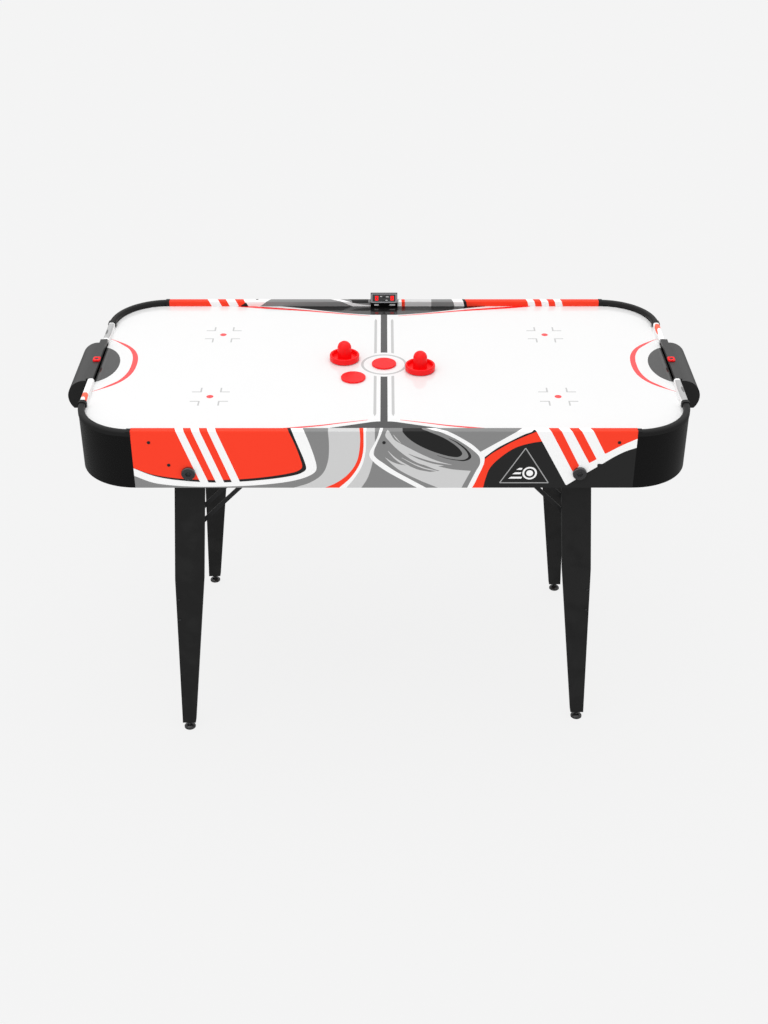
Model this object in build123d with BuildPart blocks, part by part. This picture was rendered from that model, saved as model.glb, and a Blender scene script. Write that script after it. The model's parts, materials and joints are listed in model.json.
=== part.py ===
from build123d import *

import os
from math import asin, cos, degrees, radians, sin, tan

os.makedirs("parts", exist_ok=True)

# Air hockey table, millimetres. X runs along the table, Y across it, Z up from the floor.
# The origin is on the floor below the table's centre. Pieces are built at the right (+X) and
# back (+Y) and mirrored from there, unless a comment says otherwise.
# Left is -X, right is +X, front is -Y and back is +Y.
SIDES = {"left": -1, "right": 1}
ENDS = {"front": -1, "back": 1}
CORNERS = [(end, side) for end in ENDS for side in SIDES]

# ---- Body of the table ----
BODY_X = 640  # half the length of the body, goals left out
BODY_Y = 330  # half the width
RIM_Z = 800
APRON_DEPTH = 133
APRON_WALL = 15
APRON_X = 515  # half the length of the two long aprons
APRON_Z = RIM_Z - APRON_DEPTH
APRON_EDGE = 1.5
CORNER_R = BODY_X - APRON_X
CORNER_Y = BODY_Y - CORNER_R
PANEL_WALL = 8
END_WALL = 12
FIELD_Z = 788  # top of the playfield
FIELD_WALL = 10
FIELD_X = BODY_X - END_WALL
FIELD_Y = BODY_Y - APRON_WALL
FIELD_CORNER = 110
FLOOR_Z = 745  # underside of the bottom panel
FLOOR_WALL = 3
BATTEN = 18

# ---- Rim: a rounded strip on top of the corners and the ends ----
STRIP_WIDTH = 14
STRIP_HEIGHT = RIM_Z - FIELD_Z
STRIP_ROUND = 5
STRIP_X = BODY_X - 6  # centre line of the strip along the ends
COLLAR_WALL = 2
COLLAR_LENGTH = 10
CLIP_ARC = 4
CLIP_WALL = 1.5

# ---- Goals ----
GOAL_R = 39
GOAL_X = BODY_X + 8
GOAL_TOP = RIM_Z - 4
GOAL_Z = GOAL_TOP - GOAL_R
GOAL_Y = 96  # half the length of the round hood
GOAL_WALL = 3
GOAL_BASE = 730
SLOT_Y = 84  # half the length of the slot that the puck drops through
MOUTH_Z = 750  # bottom of the notch in the end board
WINDOW_Y = 75
WINDOW_Z = (740, 756)
# The raised lip along the hood's inner top: between the front and the back end rail, with a
# shoulder that fills the space behind the hood.
LIP_X = (630, 645)
LIP_Y = (-92.5, 106)
LIP_TOP = RIM_Z - 0.5
RAIL_Y = (-93, 106.5)  # inner ends of the front and the back end rails
RAIL_GAP = 0.3  # between a rail's outer side and the hood
BEZEL = (16, 19, 3.6)
BEZEL_X = 636.3
BEZEL_CORNER = 4
BEZEL_CHAMFER = 0.8
LENS_R = 4

# ---- Screws ----
SCREW_R = 1.75
SCREW_HEAD_R = 3.5
LEG_SCREW_HEAD_R = 2.6
SCREW_HEAD = 1.2
SCREW_LENGTH = 12
SCREW_CLEAR = 0.05
APRON_SCREWS = [(0, 26), (-479, 26), (479, 26), (-442, 79), (442, 79)]  # X, and down from the rim
LEG_SCREWS = [(366, 6), (312, 6)]  # height, and distance in from the leg's outer edge
LEG_SCREW_LENGTH = 10

# ---- Legs, braces and feet ----
PIVOT_X = 403
PIVOT_Z = 702
SPLAY = 4.05  # degrees outwards
LEG_WIDTH = 62.6
LEG_TOE = 30
LEG_WALL = 16
LEG_TAPER_Z = 420
LEG_FOOT_Z = 18
LEG_FACE = {"left": 308, "right": 270}  # outer face of a leg, so the two pairs fold past each other
PIVOT_R = 5
PIVOT_HEAD_R = 14.5
PIVOT_HEAD = 6
PIVOT_HEAD_ROUND = 2.5
SOCKET_R = 6.5
SOCKET_DEPTH = 4
NUT_R = 9
NUT_HEIGHT = 5
SPACER_R = 18
RUNNING = 0.05  # radial clearance of a pin in its hole
END_PLAY = 0.4  # gap between two faces that turn on each other
PIN_R = 3
PIN_COLLAR_R = 5
PIN_HEAD = 1.6
PIN_BACK = 21  # from the leg's inner edge line back to the brace pin
BRACE_X = 379  # where the middle of the brace crosses that line
BRACE_Z = 580
BRACE_ANGLE = 45.5
BRACE_GAP = 8  # from the leg's inner face to the brace
BRACE_WALL = 3
BAR_WIDTH = 9
BAR_SPACING = 23
PIN_PLATE = (-9, 8, 12)  # along the brace: where its lower end plate starts, widens and ends
GUIDE_PLATE = (-32, 5)  # along the brace, from the guide pin: its upper end plate
PLATE_TIP = (6, 5)  # half widths of the two plates' narrow ends
TRACK_PIN_Z = 724
TRACK_INSIDE = 9
TRACK_WALL = 1.5
TRACK_TOP = 2
TRACK_DROP = 29
TRACK_X = (18, 250)
FOOT_R = 13
FOOT_RIM_Z = 3.5
FOOT_DOME = ((9.5, 7.2), (5.2, 9))  # a point half way up the dome, and its top, as radius and height
FOOT_NECK_Z = 11
FOOT_STEM_R = 4
FOOT_STEM_TOP = 42
FOOT_TRAVEL = 14  # depth of the stem's hole above the stem

brace_pin_x = BRACE_X + PIN_BACK
brace_pin_z = BRACE_Z - PIN_BACK * tan(radians(BRACE_ANGLE))
brace_length = (TRACK_PIN_Z - brace_pin_z) / sin(radians(BRACE_ANGLE))

# ---- Scorer on the back apron ----
SCORER_WIDTH = 64
SCORER_FRONT = 309.5
SCORER_BACK = 334
SCORER_SHOULDER_Z = 798
SCORER_TOP_Y = 329
SCORER_TOP_Z = 815
SCORER_HOOK_Z = 779
SCORER_WALL = 3
SCORER_LIFT = 0.3  # gap between the scorer's foot and the playfield
SCORER_HOLLOW = ((319, 801), (BODY_Y, 810.5))  # sloping top of the hollow, as Y and Z
DISPLAY_FRAME = (62, 1.6, 2.5)  # width, margin from the slope's ends, corner radius
DISPLAY_RISE = 1.6
DISPLAY_LENS = (55, 7, 1)
DISPLAY_LENS_RISE = 0.9
BUTTON_R = 2.4
BUTTON_GAP = 0.3
BUTTON_SPOTS = [(0, -4.6), (0, 4.6)]
BUTTON_INSIDE = 1
BUTTON_RISE = 2.2
BUTTON_BORE = 4

# ---- Blower and power box, under the bottom panel ----
BLOWER_R = 75
BLOWER_FLANGE = 85
BLOWER_Z = 690
BLOWER_WALL = 3
AIR_HOLE_R = 58
MOTOR_R = 18
MOTOR_Z = 712
MOTOR_ROUND = 3
MOTOR_SHAFT_R = 1.5
MOTOR_SHAFT_Z = 694
MOTOR_SEAT = 2  # width of the seat round the motor
SPOKES = 4
SPOKE_WIDTH = 8
FAN_R = 60
FAN_Z = (695, 711)
FAN_HUB_R = 7
FAN_DISC = 2
FAN_BLADES = 12
FAN_BLADE = (30, 2, 30)  # length, thickness, and angle from the radius
FAN_BLADE_AT = 43.2
GRILLE_SLOTS = 14
GRILLE_SLOT = (40, 6)
GRILLE_SLOT_AT = 45
BOX_X = 150
BOX_Y = 150
BOX_SIZE = (64, 40, 28)
BOX_WALL = 2.5
BOX_CORNER = 4
BOX_INNER_CORNER = 2
ROCKER_X = BOX_X - 14
ROCKER_SIZE = (18.6, 12.4, 8)
ROCKER_HOLE = (22, 13)
ROCKER_TILT = 8
ROCKER_DISH_R = 13.6
ROCKER_DISH_DOWN = 18  # from the rocker's middle to the dish's centre
ROCKER_PIN_R = 1
ROCKER_PIN_Z = 721
LUG = (6, 3, 4)
JACK_X = BOX_X + 16
JACK_R = 6
JACK_LENGTH = 12
JACK_FLANGE = (8, 1.5)  # radius and thickness
JACK_BORE_R = 4
JACK_BORE = 8

# ---- Pucks and pushers ----
PUCK_R = 27
PUCK_HEIGHT = 4
PUCK_EDGE = 1
PUSHER_R = 33
PUSHER_RIM = 13.2
PUSHER_DISH = 4.5
PUSHER_WALL = 5
KNOB_R = 15.5
KNOB_HEIGHT = 44
FELT = 1
FELT_MARGIN = 2
PUSHER_PLACES = {"left": (-88, 24), "right": (79.5, -26.5)}
PUCK_PLACES = {"centre": (0, 0), "left": (-67, -68)}


def save(piece, name):
    """Labels a finished piece and writes its file."""
    piece.part.label = name
    export_step(piece.part, f"parts/{name}.step")


def across(y):
    """The XZ plane at this Y. Extruding from it by a positive amount goes towards the front."""
    return Plane.XZ.offset(-y)


def mirrored(piece, side, end):
    """A copy of a piece that was built at the right back, at this side (-1 or 1) and end."""
    with BuildPart() as copy:
        add(piece.part)
        if side < 0:
            mirror(about=Plane.YZ, mode=Mode.REPLACE)
        if end < 0:
            mirror(about=Plane.XZ, mode=Mode.REPLACE)
    return copy


def draw_strip(sketch, centre, extra=0):
    """Draws the rim strip's section, standing on the playfield's level, in the open sketch."""
    with Locations((centre, FIELD_Z)):
        Rectangle(STRIP_WIDTH + 2 * extra, STRIP_HEIGHT + extra, align=(Align.CENTER, Align.MIN))
    fillet(sketch.vertices().group_by(Axis.Y)[-1], radius=STRIP_ROUND + extra)


# ================= Body =================
with BuildPart() as playfield_board:
    with BuildSketch(Plane.XY.offset(FIELD_Z - FIELD_WALL)):
        RectangleRounded(2 * FIELD_X, 2 * FIELD_Y, FIELD_CORNER)
    extrude(amount=FIELD_WALL)
save(playfield_board, "playfield_board")

screw_points = [(x, RIM_Z - down) for x, down in APRON_SCREWS]
pivot_points = [(-PIVOT_X, PIVOT_Z), (PIVOT_X, PIVOT_Z)]

with BuildPart() as back_apron:
    with BuildSketch(across(BODY_Y)):
        with Locations((0, APRON_Z)):
            Rectangle(2 * APRON_X, APRON_DEPTH, align=(Align.CENTER, Align.MIN))
        with Locations(*screw_points):
            Circle(SCREW_R + SCREW_CLEAR, mode=Mode.SUBTRACT)
        with Locations(*pivot_points):
            Circle(PIVOT_R + RUNNING, mode=Mode.SUBTRACT)
    extrude(amount=APRON_WALL)
    fillet(back_apron.edges().filter_by(Axis.X).group_by(Axis.Z)[-1], radius=APRON_EDGE)
front_apron = mirrored(back_apron, 1, -1)
save(back_apron, "back_apron")
save(front_apron, "front_apron")

with BuildPart() as apron_screws:
    with BuildSketch(across(BODY_Y)):
        with Locations(*screw_points):
            Circle(SCREW_R)
    extrude(amount=SCREW_LENGTH)
    with BuildSketch(across(BODY_Y)):
        with Locations(*screw_points):
            Circle(SCREW_HEAD_R)
    extrude(amount=-SCREW_HEAD)
    fillet(apron_screws.edges().group_by(Axis.Y)[-1], radius=SCREW_HEAD * 0.6)
    mirror(about=Plane.XZ)
save(apron_screws, "apron_screws")

for side, sign in SIDES.items():
    with BuildPart() as end_board:
        with BuildSketch(Plane.YZ.offset(FIELD_X)):
            with Locations((0, APRON_Z)):
                Rectangle(2 * CORNER_Y, FIELD_Z - APRON_Z, align=(Align.CENTER, Align.MIN))
            with Locations((0, MOUTH_Z)):
                Rectangle(2 * SLOT_Y, FIELD_Z - MOUTH_Z, align=(Align.CENTER, Align.MIN), mode=Mode.SUBTRACT)
        extrude(amount=END_WALL)
    save(mirrored(end_board, sign, 1), f"{side}_end_board")

with BuildPart() as corner_panel:
    with BuildSketch(Plane.XY.offset(APRON_Z)):
        with Locations((APRON_X, CORNER_Y)):
            Circle(CORNER_R)
            Circle(CORNER_R - PANEL_WALL, mode=Mode.SUBTRACT)
            Rectangle(CORNER_R, CORNER_R, align=(Align.MIN, Align.MIN), mode=Mode.INTERSECT)
    extrude(amount=FIELD_Z - APRON_Z)
for end, side in CORNERS:
    save(mirrored(corner_panel, SIDES[side], ENDS[end]), f"{end}_{side}_corner_panel")

# ================= Rim =================
strip_radius = STRIP_X - APRON_X
corner_axis = Axis((APRON_X, CORNER_Y, 0), (0, 0, -1))
with BuildPart() as corner_trims:
    with BuildSketch(Plane.YZ.offset(APRON_X)) as section:
        draw_strip(section, CORNER_Y + strip_radius)
    revolve(axis=corner_axis, revolution_arc=90)
    mirror(about=Plane.YZ)
    mirror(about=Plane.XZ)
save(corner_trims, "corner_trims")

with BuildPart() as end_rails:
    for outer_end, inner_end in zip((-CORNER_Y, CORNER_Y), RAIL_Y):
        with BuildSketch(across(outer_end)) as section:
            draw_strip(section, STRIP_X)
        extrude(amount=outer_end - inner_end)
    mirror(about=Plane.YZ)
save(end_rails, "end_rails")

with BuildPart() as rail_collars:
    with BuildSketch(across(CORNER_Y)) as section:
        draw_strip(section, STRIP_X, extra=COLLAR_WALL)
    extrude(amount=COLLAR_LENGTH)
    with BuildSketch(across(CORNER_Y)) as section:
        draw_strip(section, STRIP_X)
    extrude(amount=COLLAR_LENGTH, mode=Mode.SUBTRACT)
    mirror(about=Plane.YZ)
    mirror(about=Plane.XZ)
save(rail_collars, "rail_collars")

# A sleeve over the first few degrees of each trim, flush with its outer side.
with BuildPart() as apron_clips:
    with BuildSketch(Plane.YZ.offset(APRON_X)) as section:
        draw_strip(section, CORNER_Y + strip_radius, extra=CLIP_WALL)
        with Locations((CORNER_Y + strip_radius + STRIP_WIDTH / 2, FIELD_Z)):
            Rectangle(
                2 * STRIP_WIDTH, 2 * STRIP_HEIGHT, align=(Align.MAX, Align.MIN), mode=Mode.INTERSECT
            )
    revolve(axis=corner_axis, revolution_arc=CLIP_ARC)
    with BuildSketch(Plane.YZ.offset(APRON_X)) as section:
        draw_strip(section, CORNER_Y + strip_radius)
    revolve(axis=corner_axis, revolution_arc=CLIP_ARC, mode=Mode.SUBTRACT)
    mirror(about=Plane.YZ)
    mirror(about=Plane.XZ)
save(apron_clips, "apron_clips")

# ================= Goals =================
def draw_hood(radius, base, top):
    """Draws the hood's D-shaped section, open towards the table, in the open sketch."""
    with Locations((GOAL_X, GOAL_Z)):
        Circle(radius)
    with Locations((BODY_X, base)):
        Rectangle(GOAL_X - BODY_X, top - base, align=(Align.MIN, Align.MIN))
    with Locations((BODY_X, base)):
        Rectangle(2 * GOAL_R, 2 * GOAL_R, align=(Align.MIN, Align.MIN), mode=Mode.INTERSECT)


rail_outside = STRIP_X + STRIP_WIDTH / 2 + RAIL_GAP
for side, sign in SIDES.items():
    with BuildPart() as goal_hood:
        with BuildSketch(across(GOAL_Y)):
            draw_hood(GOAL_R, GOAL_BASE + GOAL_WALL, GOAL_TOP)
        extrude(amount=2 * GOAL_Y)
        with BuildSketch(across(LIP_Y[1])):
            with Locations((LIP_X[0], FIELD_Z)):
                Rectangle(LIP_X[1] - LIP_X[0], LIP_TOP - FIELD_Z, align=(Align.MIN, Align.MIN))
        extrude(amount=LIP_Y[1] - LIP_Y[0])
        # The front end rail laps past the end of the hood.
        with BuildSketch(across(LIP_Y[0])):
            with Locations((BODY_X, FIELD_Z - RAIL_GAP)):
                Rectangle(rail_outside - BODY_X, STRIP_HEIGHT, align=(Align.MIN, Align.MIN))
        extrude(amount=GOAL_Y, mode=Mode.SUBTRACT)
        with BuildSketch(across(GOAL_Y - GOAL_WALL)):
            draw_hood(GOAL_R - GOAL_WALL, GOAL_BASE, GOAL_TOP - GOAL_WALL)
        extrude(amount=2 * (GOAL_Y - GOAL_WALL), mode=Mode.SUBTRACT)
        with BuildSketch(across(SLOT_Y)):
            with Locations((LIP_X[0], GOAL_BASE)):
                Rectangle(
                    GOAL_X - LIP_X[0],
                    GOAL_TOP - GOAL_WALL - GOAL_BASE,
                    align=(Align.MIN, Align.MIN),
                )
        extrude(amount=2 * SLOT_Y, mode=Mode.SUBTRACT)
        with BuildSketch(Plane.YZ.offset(GOAL_X + GOAL_R / 2)):
            with Locations((0, WINDOW_Z[0])):
                Rectangle(2 * WINDOW_Y, WINDOW_Z[1] - WINDOW_Z[0], align=(Align.CENTER, Align.MIN))
        extrude(amount=GOAL_R, mode=Mode.SUBTRACT)
        with Locations((BEZEL_X, 0, LIP_TOP)):
            Cylinder(LENS_R + SCREW_CLEAR, 2 * GOAL_WALL, mode=Mode.SUBTRACT)
    save(mirrored(goal_hood, sign, 1), f"{side}_goal_hood")

    with BuildPart() as goal_tray:
        with BuildSketch(across(GOAL_Y)):
            draw_hood(GOAL_R, GOAL_BASE, GOAL_BASE + GOAL_WALL)
            with Locations((BODY_X, GOAL_BASE)):
                Rectangle(2 * GOAL_R, GOAL_WALL, align=(Align.MIN, Align.MIN), mode=Mode.INTERSECT)
        extrude(amount=2 * GOAL_Y)
    save(mirrored(goal_tray, sign, 1), f"{side}_goal_tray")

with BuildPart() as goal_sensor_bezels:
    with BuildSketch(Plane.XY.offset(LIP_TOP)):
        with Locations((BEZEL_X, 0)):
            RectangleRounded(BEZEL[0], BEZEL[1], BEZEL_CORNER)
            Circle(LENS_R + SCREW_CLEAR, mode=Mode.SUBTRACT)
    extrude(amount=BEZEL[2])
    chamfer(goal_sensor_bezels.edges().group_by(Axis.Z)[-1], length=BEZEL_CHAMFER)
    mirror(about=Plane.YZ)
save(goal_sensor_bezels, "goal_sensor_bezels")

with BuildPart() as goal_sensor_lenses:
    with Locations((BEZEL_X, 0, LIP_TOP - GOAL_WALL)):
        Cylinder(LENS_R, GOAL_WALL + BEZEL[2] - BEZEL_CHAMFER, align=(Align.CENTER, Align.CENTER, Align.MIN))
    mirror(about=Plane.YZ)
save(goal_sensor_lenses, "goal_sensor_lenses")

# ================= Air chamber, blower and power box =================
with BuildPart() as bottom_panel:
    with BuildSketch(Plane.XY.offset(FLOOR_Z)):
        RectangleRounded(2 * FIELD_X, 2 * FIELD_Y, FIELD_CORNER)
        Circle(AIR_HOLE_R, mode=Mode.SUBTRACT)
    extrude(amount=FLOOR_WALL)
save(bottom_panel, "bottom_panel")

with BuildPart() as plenum_frame:
    with BuildSketch(Plane.XY.offset(FLOOR_Z + FLOOR_WALL)):
        RectangleRounded(2 * FIELD_X, 2 * FIELD_Y, FIELD_CORNER)
        RectangleRounded(
            2 * (FIELD_X - BATTEN), 2 * (FIELD_Y - BATTEN), FIELD_CORNER - BATTEN, mode=Mode.SUBTRACT
        )
        with Locations((-APRON_X / 2.5, 0), (APRON_X / 2.5, 0)):
            Rectangle(BATTEN, 2 * FIELD_Y - BATTEN)
    extrude(amount=FIELD_Z - FIELD_WALL - FLOOR_Z - FLOOR_WALL)
save(plenum_frame, "plenum_frame")

with BuildPart() as blower_housing:
    with BuildSketch(Plane.XY.offset(BLOWER_Z)):
        Circle(BLOWER_R)
        Circle(BLOWER_R - BLOWER_WALL, mode=Mode.SUBTRACT)
    extrude(amount=FLOOR_Z - BLOWER_Z)
    with BuildSketch(Plane.XY.offset(FLOOR_Z - BLOWER_WALL)):
        Circle(BLOWER_FLANGE)
        Circle(AIR_HOLE_R, mode=Mode.SUBTRACT)
        Circle(MOTOR_R + MOTOR_SEAT)
        with PolarLocations((AIR_HOLE_R + MOTOR_R) / 2, SPOKES):
            Rectangle(AIR_HOLE_R - MOTOR_R + 2 * MOTOR_SEAT, SPOKE_WIDTH)
    extrude(amount=BLOWER_WALL)
save(blower_housing, "blower_housing")

with BuildPart() as blower_motor:
    with BuildSketch(Plane.XY.offset(FLOOR_Z - BLOWER_WALL)):
        Circle(MOTOR_R)
    extrude(amount=MOTOR_Z - FLOOR_Z + BLOWER_WALL)
    fillet(blower_motor.edges().group_by(Axis.Z)[0], radius=MOTOR_ROUND)
    with BuildSketch(Plane.XY.offset(MOTOR_SHAFT_Z)):
        Circle(MOTOR_SHAFT_R)
    extrude(amount=MOTOR_Z + 1 - MOTOR_SHAFT_Z)
save(blower_motor, "blower_motor")

with BuildPart() as fan_impeller:
    with BuildSketch(Plane.XY.offset(FAN_Z[0])):
        Circle(FAN_HUB_R)
        Circle(MOTOR_SHAFT_R + RUNNING, mode=Mode.SUBTRACT)
    extrude(amount=FAN_Z[1] - FAN_Z[0])
    with BuildSketch(Plane.XY.offset(FAN_Z[1] - FAN_DISC)):
        Circle(FAN_R)
        Circle(FAN_HUB_R - 1, mode=Mode.SUBTRACT)
    extrude(amount=FAN_DISC)
    with BuildSketch(Plane.XY.offset(FAN_Z[0] + FAN_DISC)):
        with PolarLocations(FAN_BLADE_AT, FAN_BLADES):
            Rectangle(FAN_BLADE[0], FAN_BLADE[1], rotation=FAN_BLADE[2])
    extrude(amount=FAN_Z[1] - FAN_Z[0] - 2 * FAN_DISC)
save(fan_impeller, "fan_impeller")

with BuildPart() as blower_grille:
    with BuildSketch(Plane.XY.offset(BLOWER_Z - BLOWER_WALL)):
        Circle(BLOWER_R)
        with PolarLocations(GRILLE_SLOT_AT, GRILLE_SLOTS):
            SlotOverall(*GRILLE_SLOT, mode=Mode.SUBTRACT)
    extrude(amount=BLOWER_WALL)
save(blower_grille, "blower_grille")

box_z = FLOOR_Z - BOX_SIZE[2]
with BuildPart() as power_box:
    with BuildSketch(Plane.XY.offset(box_z)):
        with Locations((BOX_X, BOX_Y)):
            RectangleRounded(BOX_SIZE[0], BOX_SIZE[1], BOX_CORNER)
    extrude(amount=BOX_SIZE[2])
    with BuildSketch(Plane.XY.offset(box_z + BOX_WALL)):
        with Locations((BOX_X, BOX_Y)):
            RectangleRounded(BOX_SIZE[0] - 2 * BOX_WALL, BOX_SIZE[1] - 2 * BOX_WALL, BOX_INNER_CORNER)
    extrude(amount=BOX_SIZE[2], mode=Mode.SUBTRACT)
    with BuildSketch(Plane.XY.offset(box_z)):
        with Locations((ROCKER_X, BOX_Y)):
            Rectangle(*ROCKER_HOLE)
        with Locations((JACK_X, BOX_Y)):
            Circle(JACK_R + RUNNING)
    extrude(amount=BOX_WALL, mode=Mode.SUBTRACT)
    # Two lugs and a cross pin that the rocker turns on.
    with BuildSketch(Plane.XY.offset(box_z + BOX_WALL)):
        with Locations((ROCKER_X, BOX_Y)):
            with GridLocations(0, ROCKER_HOLE[1] + LUG[1], 1, 2):
                Rectangle(LUG[0], LUG[1])
    extrude(amount=LUG[2])
    with BuildSketch(across(BOX_Y + ROCKER_HOLE[1] / 2 + 1)):
        with Locations((ROCKER_X, ROCKER_PIN_Z)):
            Circle(ROCKER_PIN_R)
    extrude(amount=ROCKER_HOLE[1] + 2)
save(power_box, "power_box")

with BuildPart() as power_rocker:
    with BuildSketch(across(BOX_Y + ROCKER_SIZE[1] / 2)) as outline:
        with Locations(Location((ROCKER_X, ROCKER_PIN_Z), -ROCKER_TILT)):
            Rectangle(ROCKER_SIZE[0], ROCKER_SIZE[2], align=(Align.CENTER, Align.CENTER))
            with Locations((0, -ROCKER_DISH_DOWN)):
                Circle(ROCKER_DISH_R, mode=Mode.SUBTRACT)
        with Locations((ROCKER_X, ROCKER_PIN_Z)):
            Circle(ROCKER_PIN_R + RUNNING, mode=Mode.SUBTRACT)
    extrude(amount=ROCKER_SIZE[1])
save(power_rocker, "power_rocker")

with BuildPart() as power_jack:
    for base, height, radius, mode in (
        (box_z - JACK_FLANGE[1], JACK_FLANGE[1], JACK_FLANGE[0], Mode.ADD),
        (box_z, JACK_LENGTH, JACK_R, Mode.ADD),
        (box_z - JACK_FLANGE[1], JACK_BORE, JACK_BORE_R, Mode.SUBTRACT),
    ):
        with BuildSketch(Plane.XY.offset(base)):
            with Locations((JACK_X, BOX_Y)):
                Circle(radius)
        extrude(amount=height, mode=mode)
save(power_jack, "power_jack")

# ================= Scorer =================
scorer_slope = ((SCORER_TOP_Y - SCORER_FRONT), (SCORER_TOP_Z - SCORER_SHOULDER_Z))
slope_length = (scorer_slope[0] ** 2 + scorer_slope[1] ** 2) ** 0.5
display = Plane(
    origin=(0, (SCORER_FRONT + SCORER_TOP_Y) / 2, (SCORER_SHOULDER_Z + SCORER_TOP_Z) / 2),
    x_dir=(1, 0, 0),
    z_dir=(0, -scorer_slope[1], scorer_slope[0]),
)

with BuildPart() as scorer_housing:
    with BuildSketch(Plane.YZ.offset(-SCORER_WIDTH / 2)):
        with BuildLine():
            Polyline(
                (SCORER_FRONT, FIELD_Z + SCORER_LIFT),
                (SCORER_FRONT, SCORER_SHOULDER_Z),
                (SCORER_TOP_Y, SCORER_TOP_Z),
                (SCORER_BACK, SCORER_TOP_Z),
                (SCORER_BACK, SCORER_HOOK_Z),
                (BODY_Y, SCORER_HOOK_Z),
                (BODY_Y, RIM_Z),
                (FIELD_Y, RIM_Z),
                (FIELD_Y, FIELD_Z + SCORER_LIFT),
                close=True,
            )
        make_face()
    extrude(amount=SCORER_WIDTH)
    # A hollow for the circuit board, closed from below by the apron.
    hollow_front, hollow_back = SCORER_HOLLOW
    with BuildSketch(Plane.YZ.offset(SCORER_WALL - SCORER_WIDTH / 2)):
        with BuildLine():
            Polyline((hollow_front[0], RIM_Z), (BODY_Y, RIM_Z), hollow_back, hollow_front, close=True)
        make_face()
    extrude(amount=SCORER_WIDTH - 2 * SCORER_WALL, mode=Mode.SUBTRACT)
    with BuildSketch(display):
        with Locations(*BUTTON_SPOTS):
            Circle(BUTTON_R + BUTTON_GAP)
    extrude(amount=-BUTTON_BORE, mode=Mode.SUBTRACT)
save(scorer_housing, "scorer_housing")

with BuildPart() as scorer_bezel:
    with BuildSketch(display):
        RectangleRounded(DISPLAY_FRAME[0], slope_length - DISPLAY_FRAME[1], DISPLAY_FRAME[2])
        RectangleRounded(
            DISPLAY_LENS[0], slope_length - DISPLAY_LENS[1], DISPLAY_LENS[2], mode=Mode.SUBTRACT
        )
    extrude(amount=DISPLAY_RISE)
save(scorer_bezel, "scorer_bezel")

with BuildPart() as scorer_lens:
    with BuildSketch(display):
        RectangleRounded(DISPLAY_LENS[0], slope_length - DISPLAY_LENS[1], DISPLAY_LENS[2])
        with Locations(*BUTTON_SPOTS):
            Circle(BUTTON_R + BUTTON_GAP, mode=Mode.SUBTRACT)
    extrude(amount=DISPLAY_LENS_RISE)
save(scorer_lens, "scorer_lens")

for name, spot in zip(("lower", "upper"), BUTTON_SPOTS):
    with BuildPart() as scorer_button:
        with BuildSketch(display.offset(-BUTTON_INSIDE)):
            with Locations(spot):
                Circle(BUTTON_R)
        extrude(amount=BUTTON_INSIDE + BUTTON_RISE)
    save(scorer_button, f"scorer_{name}_button")

# ================= Legs =================
splay_sin = sin(radians(SPLAY))
splay_cos = cos(radians(SPLAY))


def leg_point(down, out):
    """A point of the right leg: so far down its splayed middle line, and so far outwards from it."""
    return (
        PIVOT_X + down * splay_sin + out * splay_cos,
        PIVOT_Z - down * splay_cos + out * splay_sin,
    )


def leg_down_to(z, out):
    """How far down the middle line a line this far out from it comes to this height."""
    return (PIVOT_Z - z + out * splay_sin) / splay_cos


foot_x = leg_point(leg_down_to(LEG_FOOT_Z, 0), 0)[0]


def half_width(z):
    """Half the width of a leg at this height."""
    share = max(0, (LEG_TAPER_Z - z) / (LEG_TAPER_Z - LEG_FOOT_Z))
    return LEG_WIDTH / 2 + share * (LEG_TOE - LEG_WIDTH) / 2


leg_screw_points = [leg_point(leg_down_to(z, 0), half_width(z) - margin) for z, margin in LEG_SCREWS]


def make_leg(face):
    """The right back leg, with its outer face at this Y."""
    inner = face - LEG_WALL
    with BuildPart() as leg:
        with BuildSketch(across(face)):
            with BuildLine():
                shoulder = LEG_WIDTH / 2
                toe = LEG_TOE / 2
                taper = leg_down_to(LEG_TAPER_Z, 0)
                top = JernArc(
                    start=leg_point(0, shoulder),
                    tangent=(-splay_sin, splay_cos),
                    radius=shoulder,
                    arc_size=180,
                )
                Polyline(
                    top @ 1,
                    leg_point(taper, -shoulder),
                    leg_point(leg_down_to(LEG_FOOT_Z, -toe), -toe),
                    leg_point(leg_down_to(LEG_FOOT_Z, toe), toe),
                    leg_point(taper, shoulder),
                    top @ 0,
                )
            make_face()
            with Locations((PIVOT_X, PIVOT_Z)):
                Circle(PIVOT_R + RUNNING, mode=Mode.SUBTRACT)
        extrude(amount=LEG_WALL)
        with Locations((foot_x, face - LEG_WALL / 2, 0)):
            Cylinder(
                FOOT_STEM_R + RUNNING,
                FOOT_STEM_TOP + FOOT_TRAVEL,
                align=(Align.CENTER, Align.CENTER, Align.MIN),
                mode=Mode.SUBTRACT,
            )
        with BuildSketch(across(face)):
            with Locations(*leg_screw_points):
                Circle(SCREW_R + SCREW_CLEAR)
        extrude(amount=LEG_SCREW_LENGTH, mode=Mode.SUBTRACT)

    with BuildPart() as fasteners:
        with BuildSketch(across(face)):
            with Locations(*leg_screw_points):
                Circle(SCREW_R)
        extrude(amount=LEG_SCREW_LENGTH)
        with BuildSketch(across(face)):
            with Locations(*leg_screw_points):
                Circle(LEG_SCREW_HEAD_R)
        extrude(amount=-SCREW_HEAD)
        # The brace pin: a spacer collar, the pin itself and its head.
        past_brace = BRACE_GAP + BRACE_WALL + END_PLAY
        for start, length, radius in (
            (inner, BRACE_GAP - END_PLAY, PIN_COLLAR_R),
            (inner, past_brace + PIN_HEAD / 2, PIN_R),
            (inner - past_brace, PIN_HEAD, PIN_COLLAR_R),
        ):
            with BuildSketch(across(start)):
                with Locations((brace_pin_x, brace_pin_z)):
                    Circle(radius)
            extrude(amount=length)
    return leg, fasteners


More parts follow.
